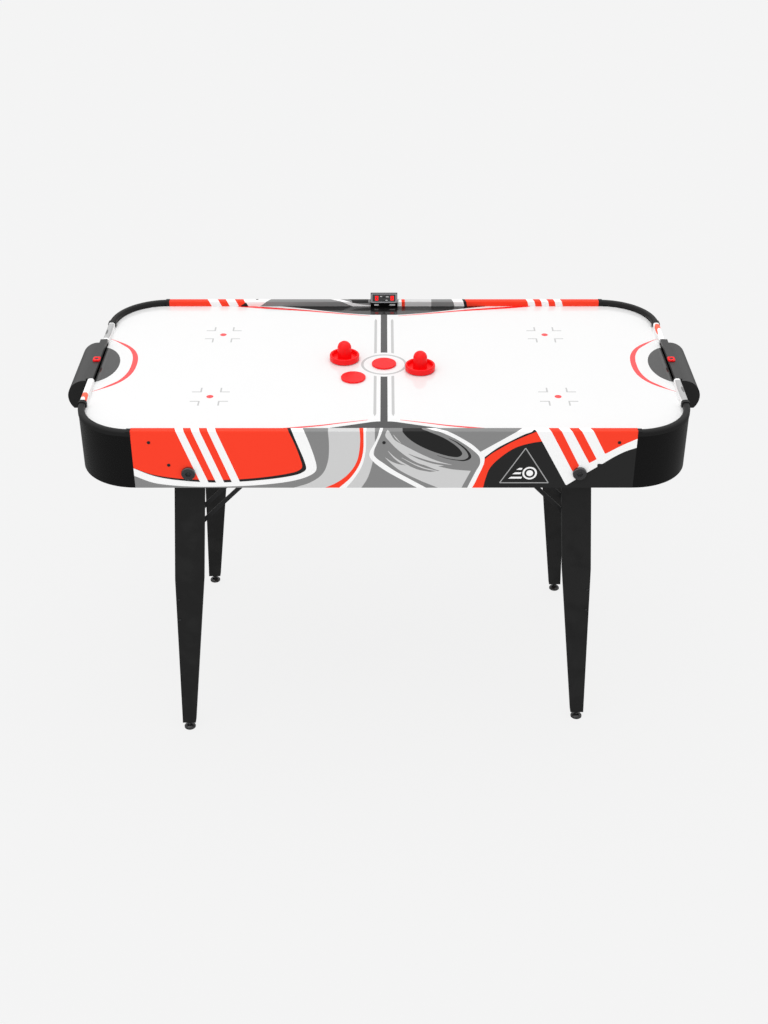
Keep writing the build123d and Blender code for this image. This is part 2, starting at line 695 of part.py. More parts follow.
def make_brace(face):
    """The right back brace: two bars between end plates, with a guide pin at the top."""
    outer = face - LEG_WALL - BRACE_GAP
    along = Plane(
        origin=(brace_pin_x, outer, brace_pin_z),
        x_dir=(-cos(radians(BRACE_ANGLE)), 0, sin(radians(BRACE_ANGLE))),
        z_dir=(0, -1, 0),
    )
    half = (BAR_SPACING + BAR_WIDTH) / 2
    pin_start, pin_wide, pin_end = PIN_PLATE
    guide_start, guide_end = (brace_length + reach for reach in GUIDE_PLATE)
    pin_tip, guide_tip = PLATE_TIP
    with BuildPart() as brace:
        with BuildSketch(along):
            with Locations(((pin_wide + guide_start) / 2, 0)):
                with GridLocations(0, BAR_SPACING, 1, 2):
                    Rectangle(guide_start - pin_wide, BAR_WIDTH)
            with BuildLine():
                Polyline(
                    (pin_start, -pin_tip),
                    (pin_wide, -half),
                    (pin_end, -half),
                    (pin_end, half),
                    (pin_wide, half),
                    (pin_start, pin_tip),
                    close=True,
                )
            make_face()
            with BuildLine():
                Polyline(
                    (guide_start, -half),
                    (guide_end, -guide_tip),
                    (guide_end, guide_tip),
                    (guide_start, half),
                    close=True,
                )
            make_face()
            Circle(PIN_R + RUNNING, mode=Mode.SUBTRACT)
        extrude(amount=BRACE_WALL)
        guide_pin = TRACK_INSIDE - 4 * END_PLAY
        with BuildSketch(along.offset((BRACE_WALL - guide_pin) / 2)):
            with Locations((brace_length, 0)):
                Circle(PIN_R)
        extrude(amount=guide_pin)
    return brace


def make_foot(face):
    """The right back levelling foot: a domed disc with its stem."""
    with BuildPart() as foot:
        with BuildSketch(Plane.XZ):
            with BuildLine():
                dome_middle, dome_top = FOOT_DOME
                neck_r = dome_top[0]
                Polyline((0, 0), (FOOT_R - 1, 0), (FOOT_R, 1), (FOOT_R, FOOT_RIM_Z))
                ThreePointArc((FOOT_R, FOOT_RIM_Z), dome_middle, dome_top)
                Polyline(
                    dome_top,
                    (neck_r, FOOT_NECK_Z),
                    (FOOT_STEM_R, FOOT_NECK_Z + neck_r - FOOT_STEM_R),
                    (FOOT_STEM_R, FOOT_STEM_TOP),
                    (0, FOOT_STEM_TOP),
                    (0, 0),
                )
            make_face()
        revolve(axis=Axis.Z)
    with BuildPart() as placed:
        with Locations((foot_x, face - LEG_WALL / 2, 0)):
            add(foot.part)
    return placed


for side, sign in SIDES.items():
    leg, fasteners = make_leg(LEG_FACE[side])
    brace = make_brace(LEG_FACE[side])
    foot = make_foot(LEG_FACE[side])
    for end, towards in ENDS.items():
        save(mirrored(leg, sign, towards), f"{end}_{side}_leg")
        save(mirrored(fasteners, sign, towards), f"{end}_{side}_leg_fasteners")
        save(mirrored(brace, sign, towards), f"{end}_{side}_brace")
        save(mirrored(foot, sign, towards), f"{end}_{side}_foot")

with BuildPart() as pivot_bolts:
    for side, sign in SIDES.items():
        inner = LEG_FACE[side] - LEG_WALL
        spot = (sign * PIVOT_X, PIVOT_Z)
        with BuildSketch(across(BODY_Y)):
            with Locations(spot):
                Circle(PIVOT_R)
        extrude(amount=BODY_Y - inner + NUT_HEIGHT)
        with BuildSketch(across(BODY_Y + PIVOT_HEAD)):
            with Locations(spot):
                Circle(PIVOT_HEAD_R)
        extrude(amount=PIVOT_HEAD)
        fillet(pivot_bolts.edges().group_by(Axis.Y)[-1].filter_by(GeomType.CIRCLE), radius=PIVOT_HEAD_ROUND)
        with BuildSketch(across(BODY_Y + PIVOT_HEAD)):
            with Locations(spot):
                RegularPolygon(SOCKET_R, 6)
        extrude(amount=SOCKET_DEPTH, mode=Mode.SUBTRACT)
        with BuildSketch(across(inner - END_PLAY)):
            with Locations(spot):
                RegularPolygon(NUT_R, 6)
                Circle(PIVOT_R + RUNNING, mode=Mode.SUBTRACT)
        extrude(amount=NUT_HEIGHT)
    mirror(about=Plane.XZ)
save(pivot_bolts, "pivot_bolts")

with BuildPart() as leg_spacers:
    for side, sign in SIDES.items():
        with BuildSketch(across(FIELD_Y)):
            with Locations((sign * PIVOT_X, PIVOT_Z)):
                Circle(SPACER_R)
                Circle(PIVOT_R + RUNNING, mode=Mode.SUBTRACT)
        extrude(amount=FIELD_Y - LEG_FACE[side] - END_PLAY)
    mirror(about=Plane.XZ)
save(leg_spacers, "leg_spacers")

track_width = TRACK_INSIDE + 2 * TRACK_WALL
with BuildPart() as brace_tracks:
    for side, sign in SIDES.items():
        middle = LEG_FACE[side] - LEG_WALL - BRACE_GAP - BRACE_WALL / 2
        with BuildSketch(Plane.YZ.offset(sign * TRACK_X[0])):
            with Locations((middle, FLOOR_Z - TRACK_DROP)):
                Rectangle(track_width, TRACK_DROP, align=(Align.CENTER, Align.MIN))
                Rectangle(
                    TRACK_INSIDE, TRACK_DROP - TRACK_TOP, align=(Align.CENTER, Align.MIN), mode=Mode.SUBTRACT
                )
        extrude(amount=sign * (TRACK_X[1] - TRACK_X[0]))
    mirror(about=Plane.XZ)
save(brace_tracks, "brace_tracks")

# ================= Pushers and pucks =================
knob_middle = KNOB_HEIGHT - KNOB_R
rim_half = PUSHER_WALL / 2
rim_shoulder = PUSHER_RIM - rim_half
rim_inside = PUSHER_R - PUSHER_WALL
for side, spot in PUSHER_PLACES.items():
    with BuildPart() as pusher:
        with BuildSketch(Plane.XZ):
            with BuildLine():
                Polyline((0, 0), (PUSHER_R - 1, 0), (PUSHER_R, 1), (PUSHER_R, rim_shoulder))
                ThreePointArc(
                    (PUSHER_R, rim_shoulder), (PUSHER_R - rim_half, PUSHER_RIM), (rim_inside, rim_shoulder)
                )
                Polyline(
                    (rim_inside, rim_shoulder),
                    (rim_inside - 1, PUSHER_DISH),
                    (KNOB_R, PUSHER_DISH - 1),
                    (KNOB_R, knob_middle),
                )
                JernArc(start=(KNOB_R, knob_middle), tangent=(0, 1), radius=KNOB_R, arc_size=90)
                Line((0, KNOB_HEIGHT), (0, 0))
            make_face()
        revolve(axis=Axis.Z)
    with BuildPart() as placed:
        with Locations((spot[0], spot[1], FIELD_Z + FELT)):
            add(pusher.part)
    save(placed, f"{side}_pusher")

    with BuildPart() as pusher_felt:
        with Locations((spot[0], spot[1], FIELD_Z)):
            Cylinder(PUSHER_R - FELT_MARGIN, FELT, align=(Align.CENTER, Align.CENTER, Align.MIN))
    save(pusher_felt, f"{side}_pusher_felt")

for name, spot in PUCK_PLACES.items():
    with BuildPart() as puck:
        with Locations((spot[0], spot[1], FIELD_Z)):
            Cylinder(PUCK_R, PUCK_HEIGHT, align=(Align.CENTER, Align.CENTER, Align.MIN))
        fillet(puck.edges(), radius=PUCK_EDGE)
    save(puck, f"{name}_puck")

# How far a leg folds until it lies level, how far its brace turns with it, and their ratio.
fold = 90 + SPLAY
pin_in = (PIVOT_Z - brace_pin_z) * splay_sin - (brace_pin_x - PIVOT_X) * splay_cos
folded_angle = degrees(asin((TRACK_PIN_Z - PIVOT_Z - pin_in) / brace_length))
brace_turn = fold + BRACE_ANGLE - folded_angle
print(f"fold {fold:.3f} deg, brace turn {brace_turn:.4f} deg, ratio {brace_turn / fold:.5f}")
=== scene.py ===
"""Air hockey table: prints, materials, fine pieces, floor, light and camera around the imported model."""

import json
from math import cos, pi, radians, sin

import bpy
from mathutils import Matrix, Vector
from mathutils.geometry import delaunay_2d_cdt


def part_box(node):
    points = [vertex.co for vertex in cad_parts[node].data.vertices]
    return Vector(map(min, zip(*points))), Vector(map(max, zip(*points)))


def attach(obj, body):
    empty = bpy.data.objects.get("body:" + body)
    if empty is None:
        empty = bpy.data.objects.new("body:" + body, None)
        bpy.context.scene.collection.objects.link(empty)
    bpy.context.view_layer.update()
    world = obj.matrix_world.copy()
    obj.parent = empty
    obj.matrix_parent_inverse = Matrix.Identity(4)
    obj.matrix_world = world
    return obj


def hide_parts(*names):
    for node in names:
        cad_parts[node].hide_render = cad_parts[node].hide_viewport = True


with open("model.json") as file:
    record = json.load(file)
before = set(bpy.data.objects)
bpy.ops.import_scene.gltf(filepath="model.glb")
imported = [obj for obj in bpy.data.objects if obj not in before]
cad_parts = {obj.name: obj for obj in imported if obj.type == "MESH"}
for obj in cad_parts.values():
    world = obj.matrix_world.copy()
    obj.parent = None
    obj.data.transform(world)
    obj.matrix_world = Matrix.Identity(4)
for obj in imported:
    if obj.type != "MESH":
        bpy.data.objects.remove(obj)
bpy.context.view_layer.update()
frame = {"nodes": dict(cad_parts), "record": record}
nodes = frame["nodes"]
scene = bpy.context.scene
MM = 0.001

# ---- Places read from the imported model, in millimetres ----
board_low, board_high = (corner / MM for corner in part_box("playfield_board"))
apron_low, apron_high = (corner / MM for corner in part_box("front_apron"))
rail_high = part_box("end_rails")[1] / MM
scorer_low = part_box("scorer_housing")[0] / MM
SIDES = {"left": -1, "right": 1}
ENDS = {"front": -1, "back": 1}
FIELD_Z = board_high.z
FIELD_X = board_high.x
FIELD_Y = board_high.y
FIELD_CORNER = 110  # radius of the playfield's corners
FIELD_DEPTH = FIELD_Z - board_low.z
RIM_Z = apron_high.z
APRON_BOTTOM = apron_low.z
APRON_X = apron_high.x
APRON_OUTSIDE = -apron_low.y
APRON_INSIDE = -apron_high.y
APRON_EDGE = 1.5  # radius along the edges of the rim
RAIL_WIDTH = 14
RAIL_ROUND = 5
RAIL_X = rail_high.x - RAIL_WIDTH / 2
FILM = (0.15, -0.1)  # a printed film's top, proud of its board, and its underside, sunk in it

# ---- Colours, as they look under the studio light ----
WHITE = (251, 251, 251)
LIGHT_GREY = (208, 208, 208)
MID_GREY = (137, 137, 137)
INK_BLACK = (42, 42, 42)
RED = (255, 66, 42)
FIELD_WHITE = (235, 235, 235)
FIELD_RED = (245, 30, 34)
FIELD_GREY = (8, 8, 8)
FIELD_LIGHT = (186, 186, 186)
RAIL_RED = (255, 112, 90)
RAIL_GREY = (184, 184, 184)
RAIL_DARK = (120, 120, 120)
TRIANGLE_GREY = (165, 165, 165)
LABEL_GREY = (200, 200, 200)
MARK_GREY = (190, 190, 190)


def linear(colour):
    """The linear RGBA value of a colour given as 0 to 255 on the screen."""
    parts = [c / 255 for c in colour]
    return [c / 12.92 if c <= 0.04045 else ((c + 0.055) / 1.055) ** 2.4 for c in parts] + [1.0]


# ================= Materials =================
DRIFT_SCALE = 9  # broad patches of drifting colour in a metre
ROUGHNESS_SPREAD = 0.15


def surface(name, colour, roughness, drift=0.03, grain=1.2, bump=0.04, **sockets):
    """A procedural surface: its colour drifts over the piece, and a fine grain of the given size in
    millimetres bumps it and varies its roughness."""
    material = bpy.data.materials.new(name)
    material.use_nodes = True
    make = material.node_tree.nodes.new
    link = material.node_tree.links.new
    shader = material.node_tree.nodes["Principled BSDF"]
    places = make("ShaderNodeTexCoord").outputs["Object"]
    broad = make("ShaderNodeTexNoise")
    broad.inputs["Scale"].default_value = DRIFT_SCALE
    broad.inputs["Detail"].default_value = 4
    fine = make("ShaderNodeTexNoise")
    fine.inputs["Scale"].default_value = 1 / (grain * MM)
    fine.inputs["Detail"].default_value = 3
    for noise in (broad, fine):
        link(places, noise.inputs["Vector"])
    tint = make("ShaderNodeMix")
    tint.data_type = "RGBA"
    base = linear(colour)
    tint.inputs["A"].default_value = [c * (1 - drift) for c in base[:3]] + [1]
    tint.inputs["B"].default_value = [min(c * (1 + drift), 1) for c in base[:3]] + [1]
    link(broad.outputs["Fac"], tint.inputs["Factor"])
    link(tint.outputs["Result"], shader.inputs["Base Color"])
    gloss = make("ShaderNodeMapRange")
    gloss.inputs["To Min"].default_value = roughness * (1 - ROUGHNESS_SPREAD)
    gloss.inputs["To Max"].default_value = roughness * (1 + ROUGHNESS_SPREAD)
    link(fine.outputs["Fac"], gloss.inputs["Value"])
    link(gloss.outputs["Result"], shader.inputs["Roughness"])
    relief = make("ShaderNodeBump")
    relief.inputs["Strength"].default_value = bump
    relief.inputs["Distance"].default_value = grain * MM
    link(fine.outputs["Fac"], relief.inputs["Height"])
    link(relief.outputs["Normal"], shader.inputs["Normal"])
    for socket, value in sockets.items():
        shader.inputs[socket.replace("_", " ")].default_value = value
    return material


def wood(name, colour, dark, roughness, scale=20, **sockets):
    """A board: wavy grain lines that follow each other along Y, between two colours, over a fine bump."""
    material = surface(name, colour, roughness, drift=0.05, grain=0.8, bump=0.08, **sockets)
    tree = material.node_tree
    wave = tree.nodes.new("ShaderNodeTexWave")
    wave.bands_direction = "Y"
    wave.inputs["Scale"].default_value = scale
    wave.inputs["Distortion"].default_value = 6
    wave.inputs["Detail"].default_value = 4
    tint = next(n for n in tree.nodes if n.type == "MIX")
    tint.inputs["A"].default_value = linear(colour)
    tint.inputs["B"].default_value = linear(dark)
    places = next(n for n in tree.nodes if n.type == "TEX_COORD")
    tree.links.new(places.outputs["Object"], wave.inputs["Vector"])
    tree.links.new(wave.outputs["Fac"], tint.inputs["Factor"])
    return material


inks = {}


def ink(colour, gloss="board"):
    """The printed laminate in one colour; the playfield's has a clear glossy coat."""
    key = (gloss, colour)
    if key not in inks:
        name = f"{gloss}_print_{colour[0]}_{colour[1]}_{colour[2]}"
        finish = {"Specular_IOR_Level": 0.07}
        if gloss == "field":
            finish = {"Specular_IOR_Level": 0.15, "Coat_Weight": 1.0, "Coat_Roughness": 0.03}
        inks[key] = surface(name, colour, roughness=0.4, drift=0.008, grain=2.0, bump=0.01, **finish)
    return inks[key]


# ================= Outlines =================
def curve(points, parts=5):
    """Points along a smooth curve through the given points; two points give a straight line."""
    points = [Vector(p) for p in points]
    if len(points) == 2:
        return points
    ends = [2 * points[0] - points[1], *points, 2 * points[-1] - points[-2]]
    line = []
    for p0, p1, p2, p3 in zip(ends, ends[1:], ends[2:], ends[3:]):
        # A centripetal Catmull-Rom span, written as a cubic with scaled tangents.
        d01, d12, d23 = ((b - a).length ** 0.5 for a, b in ((p0, p1), (p1, p2), (p2, p3)))
        m1 = (p2 - p1) + d12 * ((p1 - p0) / d01 - (p2 - p0) / (d01 + d12))
        m2 = (p2 - p1) + d12 * ((p3 - p2) / d23 - (p3 - p1) / (d12 + d23))
        for step in range(parts):
            t = step / parts
            line.append(
                p1 * (2 * t**3 - 3 * t**2 + 1)
                + m1 * (t**3 - 2 * t**2 + t)
                + p2 * (3 * t**2 - 2 * t**3)
                + m2 * (t**3 - t**2)
            )
    return line + [points[-1]]


def outline(*runs):
    """A closed outline: smooth runs that meet in corners. A single point is a corner of its own."""
    points = []
    for run in runs:
        for point in curve(run) if isinstance(run, list) else [Vector(run)]:
            if not points or (point - points[-1]).length > 1e-3:
                points.append(point)
    if (points[0] - points[-1]).length < 1e-3:
        points.pop()
    return points


def stroke(points, widths):
    """A line drawn along a smooth curve, with its width at each of the given points."""
    line = curve(points)
    sides = [], []
    for i, point in enumerate(line):
        ahead = line[min(i + 1, len(line) - 1)] - line[max(i - 1, 0)]
        across = Vector((-ahead.y, ahead.x)).normalized()
        place = i / (len(line) - 1) * (len(widths) - 1)
        first = min(int(place), len(widths) - 2)
        width = widths[first] + (widths[first + 1] - widths[first]) * (place - first)
        sides[0].append(point + across * width / 2)
        sides[1].append(point - across * width / 2)
    return sides[0] + sides[1][::-1]


def ellipse(centre, radii, count=48):
    """A closed ellipse."""
    turns = [2 * pi * i / count for i in range(count)]
    return [Vector((centre[0] + radii[0] * cos(t), centre[1] + radii[1] * sin(t))) for t in turns]


def box(x0, x1, y0, y1):
    """A rectangle."""
    return [Vector(p) for p in ((x0, y0), (x1, y0), (x1, y1), (x0, y1))]


def flipped(points, x=1, y=1):
    """The outline, mirrored across X or Y where the sign is -1."""
    return [Vector((p.x * x, p.y * y)) for p in points]


def anticlockwise(points):
    """The outline in the order that the triangulation needs."""
    area = sum(a.x * b.y - b.x * a.y for a, b in zip(points, points[1:] + points[:1]))
    return points if area > 0 else points[::-1]


# ================= Printed pieces =================
def table_piece(name, verts, faces, materials):
    """A fine piece that is fixed to the table, from points in millimetres."""
    mesh = bpy.data.meshes.new(name)
    mesh.from_pydata([v * MM for v in verts], [], faces)
    for material in materials:
        mesh.materials.append(material)
    piece = bpy.data.objects.new(name, mesh)
    scene.collection.objects.link(piece)
    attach(piece, "table")
    return piece


def printed(name, sheet, prints, place, lifts, background, gloss="board", folds=()):
    """A thin closed piece whose top is cut up along its printed outlines, one material for each
    colour. prints are (colour, outline) in painting order, place turns a point of the sheet and a
    lift into a point in space, and folds are lines that the sheet bends along."""
    points, faces, edges = [], [], []
    for shape in [sheet] + [shape for _, shape in prints]:
        ordered = anticlockwise(shape)
        faces.append(list(range(len(points), len(points) + len(ordered))))
        points += ordered
    for start, end in folds:
        edges.append((len(points), len(points) + 1))
        points += [Vector(start), Vector(end)]
    flat, _, cells, _, _, covers = delaunay_2d_cdt(points, edges, faces, 1, 1e-4, True)
    colours = [background] + [colour for colour, _ in prints]
    palette = list(dict.fromkeys(colours))
    kept = [(cell, max(cover)) for cell, cover in zip(cells, covers) if 0 in cover]
    used = sorted({i for cell, _ in kept for i in cell})
    index = {old: new for new, old in enumerate(used)}
    count = len(used)
    tops = [[index[i] for i in cell] for cell, _ in kept]
    unders = [[i + count for i in reversed(cell)] for cell in tops]
    borders = {(a, b) for cell in tops for a, b in zip(cell, cell[1:] + cell[:1])}
    walls = [(b, a, a + count, b + count) for a, b in borders if (b, a) not in borders]
    verts = [place(flat[i], lift) for lift in lifts for i in used]
    films = [ink(colour, gloss) for colour in palette]
    piece = table_piece(name, verts, tops + unders + walls, films)
    for polygon, (_, top) in zip(piece.data.polygons, kept):
        polygon.material_index = palette.index(colours[top])
    return piece


# ---- The aprons: x along the board, and s up its face, over the rim and down inside ----
EDGE_S = 3  # how much of s each rounded edge of the rim takes
EDGE_PARTS = 4  # flat strips round each of those edges
INNER_DEPTH = 12  # how far down inside the rim the print goes
FACE_TOP = RIM_Z - EDGE_S / 2
RIM_FAR = FACE_TOP + EDGE_S + (APRON_OUTSIDE - APRON_INSIDE - 2 * APRON_EDGE)
SHEET_TOP = RIM_FAR + EDGE_S + INNER_DEPTH - APRON_EDGE


def apron_place(turn):
    """Places a point of an apron's sheet on the front apron, or on the back one with turn -1."""

    def place(point, lift):
        x, s = point
        radius = APRON_EDGE + lift
        if s <= FACE_TOP:
            y, z = APRON_OUTSIDE + lift, s
        elif s < FACE_TOP + EDGE_S:
            angle = (s - FACE_TOP) / EDGE_S * pi / 2
            y = APRON_OUTSIDE - APRON_EDGE + radius * cos(angle)
            z = RIM_Z - APRON_EDGE + radius * sin(angle)
        elif s <= RIM_FAR:
            y, z = APRON_OUTSIDE - APRON_EDGE - (s - FACE_TOP - EDGE_S), RIM_Z + lift
        elif s < RIM_FAR + EDGE_S:
            angle = (s - RIM_FAR) / EDGE_S * pi / 2
            y = APRON_INSIDE + APRON_EDGE - radius * sin(angle)
            z = RIM_Z - APRON_EDGE + radius * cos(angle)
        else:
            y, z = APRON_INSIDE - lift, RIM_Z - APRON_EDGE - (s - RIM_FAR - EDGE_S)
        return Vector((x * turn, -y * turn, z))

    return place


# Prints that run off the sheet reach past its edges, which cut them off.
TOP = SHEET_TOP + 1
LOW = APRON_BOTTOM - 1

# The light area left of the puck, the red arc on it, and its white line.
light_area = outline(
    (-113.5, TOP),
    [(-113.5, 800), (-112, 770), (-115, 730), (-127, 700), (-152, 680), (-190, LOW)],
    (-47.6, LOW),
    [(-47.6, LOW), (-34, 690), (-23, 730), (-18.5, 765)],
    (-18.5, TOP),
)
ARC_LEFT = [(-50.5, TOP), (-50, 812), (-48.6, 775), (-55.6, 730), (-73.6, 700), (-97, 680), (-124, LOW)]
arc_line = outline(
    ARC_LEFT, (-79, LOW), [(-79, LOW), (-61, 690), (-45, 720), (-37.4, 755), (-36.2, 800), (-34, TOP)]
)
arc_red = outline(
    ARC_LEFT, (-94, LOW), [(-94, LOW), (-70, 690), (-51.6, 720), (-43, 750), (-41.4, 790), (-42.5, TOP)]
)

# The red panel on the left, with its black line, its white border and three white stripes.
left_border = outline(
    (-APRON_X, TOP),
    [(-APRON_X, 695.6), (-480, 680), (-450, 674), (-400, 670), (-350, 669.4), (-250, 674.4),
     (-183, 685), (-152, 697), (-140.5, 707), (-138.6, 718), (-142.6, 740), (-154.5, 780),
     (-161.5, 800), (-169.5, TOP)],
)
left_black = outline(
    (-APRON_X, TOP),
    [(-APRON_X, 713.5), (-480, 697.3), (-450, 689), (-400, 682.5), (-350, 679.5), (-300, 681.5),
     (-250, 686), (-200, 693.5), (-172, 701.5), (-160.5, 711), (-163, 730), (-173, 760),
     (-186.5, 800), (-193, TOP)],
)
left_red = outline(
    (-APRON_X, TOP),
    [(-APRON_X, 714), (-480, 699.5), (-440, 691.3), (-400, 687.2), (-350, 685.6), (-300, 687.3),
     (-250, 692), (-200, 700.5), (-177, 707.5), (-168.5, 716), (-172.5, 740), (-185.5, 780),
     (-193.5, 800), (-200, TOP)],
)
STRIPE_FOOT = 676
STRIPE_WIDTH = 17
STRIPE_LEAN = 46  # how far a stripe goes left from its foot to the rim
stripes = [
    outline(
        (x, STRIPE_FOOT), (x + STRIPE_WIDTH, STRIPE_FOOT),
        (x + 18.5 - STRIPE_LEAN, 800), (x + 12 - STRIPE_LEAN, TOP),
        (x - 5 - STRIPE_LEAN, TOP), (x + 2 - STRIPE_LEAN, 800),
    )
    for x in (-378.5, -346, -313)
]

# The outline of the flying puck's rim, and the light streaks on it.
puck_edge = outline(
    [(-7.9, TOP), (-8.2, 812), (-12.5, 790), (-20.4, 770), (-28.4, 754), (-29.6, 742), (-22.5, 730),
     (-7.5, 716), (10, 703), (70, LOW)],
    (89, LOW),
    [(89, LOW), (50, 690), (20, 709), (0, 725), (-15.2, 737.5), (-21.7, 749), (-15, 770),
     (-3.8, 800), (-1.3, TOP)],
)
streaks = [
    outline(
        [(7.5, 806), (2.5, 790), (12.5, 775), (30, 755.5), (60, 731.5), (80, 722), (110, 718)],
        [(110, 718), (125, 720.5), (139, 722)],
        [(139, 722), (110, 730.8), (80, 745), (40, 768), (22, 780), (14, 793), (7.5, 806)],
    ),
    outline(
        [(80, 722.5), (110, 718.3), (140, 711.3), (178.5, 707.5)],
        (160, LOW),
        (114, LOW),
        [(114, LOW), (70, 686.7), (30, 710.5), (8.3, 731.7), (1.7, 740)],
        [(1.7, 740), (15, 730), (30, 723.5), (50, 720)],
        [(50, 720), (70, 710.5), (95, 705)],
        (113, 707.5),
    ),
    stroke([(19, 792), (25, 783.5), (34, 773)], [0.8, 2.2, 0.8]),
    stroke([(8.3, 754), (21, 739), (35, 727.5), (52, 719)], [0.8, 3.2, 4.6, 1.0]),
    stroke([(36, 738.5), (64, 722), (85, 713.5), (113, 706)], [0.8, 2.2, 3.6, 0.8]),
]
streak_gap = stroke(
    [(50, 747.5), (73, 736.5), (100, 727), (122, 722.5), (142, 720.5)], [0.8, 3.6, 4.4, 4, 1.2]
)
streak_shade = stroke([(60, 725.5), (85, 715.5), (114, 708)], [0.6, 2, 0.6])
puck_top = outline(
    (37.5, 818),
    [(37.5, 799), (44, 790), (60, 775), (90, 757.5), (120, 745.8), (140, 740.8), (153, 740.6),
     (159.8, 747), (154, 759), (130, 779.6), (110, 790.8), (90, 800), (78, 809), (76, 818)],
)
puck_line = stroke(
    [(109, 744), (130, 736.7), (150, 733), (166, 732.8), (175.5, 740), (170, 754), (150, 773),
     (131.7, 783.8)],
    [0.8, 1.2, 1.8, 3.6, 6.2, 4, 2.5, 0.8],
)

# Right of the puck: white line, grey triangle, then the black field with its red band.
white_area = outline(
    (28, TOP),
    [(28, 824), (45, 823), (70, 819.5), (85, 814), (94, 808.5), (103, 803), (119, 796.5), (150, 780),
     (180, 757.5), (195, 740.8), (197, 725), (189, 706.7), (180.8, 687.5), (172, LOW)],
    (APRON_X, LOW),
    (APRON_X, TOP),
)
grey_triangle = outline(
    [(72, TOP), (84, 823), (100, 816), (115, 808), (129, 800.5), (150, 789), (180, 769), (197, 752.5)],
    [(197, 752.5), (232, 775), (258, 792), (270, 800), (277, 808), (284, 817), (299, TOP)],
)
BAND_EDGE = [(182, LOW), (188, 679), (194, 695), (200, 710), (205, 725), (206, 735)]
black_area = outline(
    BAND_EDGE,
    [(206, 740), (232, 762), (260, 779), (285, 793), (300, 799.5), (303.5, 806)],
    (306.5, 806),
    (309, 800),
    (APRON_X, 790),
    (APRON_X, LOW),
)
red_band = outline(
    BAND_EDGE,
    [(206, 735), (220, 748), (240, 762), (260, 775), (280, 785.5), (310, 800)],
    (324, 777),
    [(322, 776.8), (300, 773), (268, 762), (238, 739), (218, 715), (210, 691), (205, LOW)],
)
wedge = outline(
    (303, TOP), (303.5, 806), (306.5, 806), (309, 800), (376, 674), (378, 673.6),
    [(378, 673.6), (418, 703), (438, 717)],
    (438, 724), (448, 724),
    [(448, 724), (470, 740), (492, 753), (APRON_X, 762)],
    (APRON_X, TOP),
)
wedge_reds = [
    outline([(329, TOP), (334, 815), (338, 802)], (388, 706), (401, 719),
            [(359, 802), (354, 815), (348, TOP)]),
    outline([(370, TOP), (376, 815), (380.4, 802)], (421, 726), (435.6, 735),
            [(400, 802), (395, 815), (389, TOP)]),
    outline([(413, TOP), (419, 815), (425, 800)], (451, 749), [(453, 748), (484, 767), (513, 782)],
            (APRON_X, 783), (APRON_X, TOP)),
]
wedge_black = outline((331, 817), (325, TOP), (347, TOP))

# A plain device in the triangle: a puck with three speed lines.
TRIANGLE = [(289, 761), (239, 679), (339.6, 679)]
TRIANGLE_LINE = 2.2
DEVICE_PUCK = (300, 702)
SPEED_LINE = 4.5  # height of each of its speed lines
triangle_lines = [
    stroke([a, b], [TRIANGLE_LINE, TRIANGLE_LINE])
    for a, b in zip(TRIANGLE, TRIANGLE[1:] + TRIANGLE[:1])
]
device = [
    (colour, ellipse(DEVICE_PUCK, (radius, radius)))
    for colour, radius in ((WHITE, 15), (INK_BLACK, 11.2), (WHITE, 7))
]
device += [
    (WHITE, outline((x0, z), (x1, z), (x1 + 2, z + SPEED_LINE), (x0 + 6, z + SPEED_LINE)))
    for x0, x1, z in ((256, 283, 689), (264, 281, 699.5), (272, 283, 710))
]

apron_prints = [
    (LIGHT_GREY, light_area),
    (WHITE, arc_line),
    (RED, arc_red),
    (WHITE, left_border),
    (INK_BLACK, left_black),
    (RED, left_red),
    *[(WHITE, stripe) for stripe in stripes],
    (WHITE, puck_edge),
    *[(LIGHT_GREY, streak) for streak in streaks],
    (MID_GREY, streak_gap),
    (MID_GREY, streak_shade),
    (INK_BLACK, puck_top),
    (INK_BLACK, puck_line),
    (WHITE, white_area),
    (MID_GREY, grey_triangle),
    (INK_BLACK, black_area),
    (RED, red_band),
    (WHITE, wedge),
    *[(RED, shape) for shape in wedge_reds],
    (INK_BLACK, wedge_black),
    *[(TRIANGLE_GREY, line) for line in triangle_lines],
    *device,
]
apron_sheet = box(-APRON_X, APRON_X, APRON_BOTTOM, SHEET_TOP)
fold_levels = [
    start + EDGE_S * part / EDGE_PARTS for start in (FACE_TOP, RIM_FAR) for part in range(EDGE_PARTS + 1)
]
apron_folds = [((-APRON_X, s), (APRON_X, s)) for s in fold_levels]
for end, turn in (("front", 1), ("back", -1)):
    printed(f"{end}_apron_print", apron_sheet, apron_prints, apron_place(turn),
            FILM, MID_GREY, folds=apron_folds)

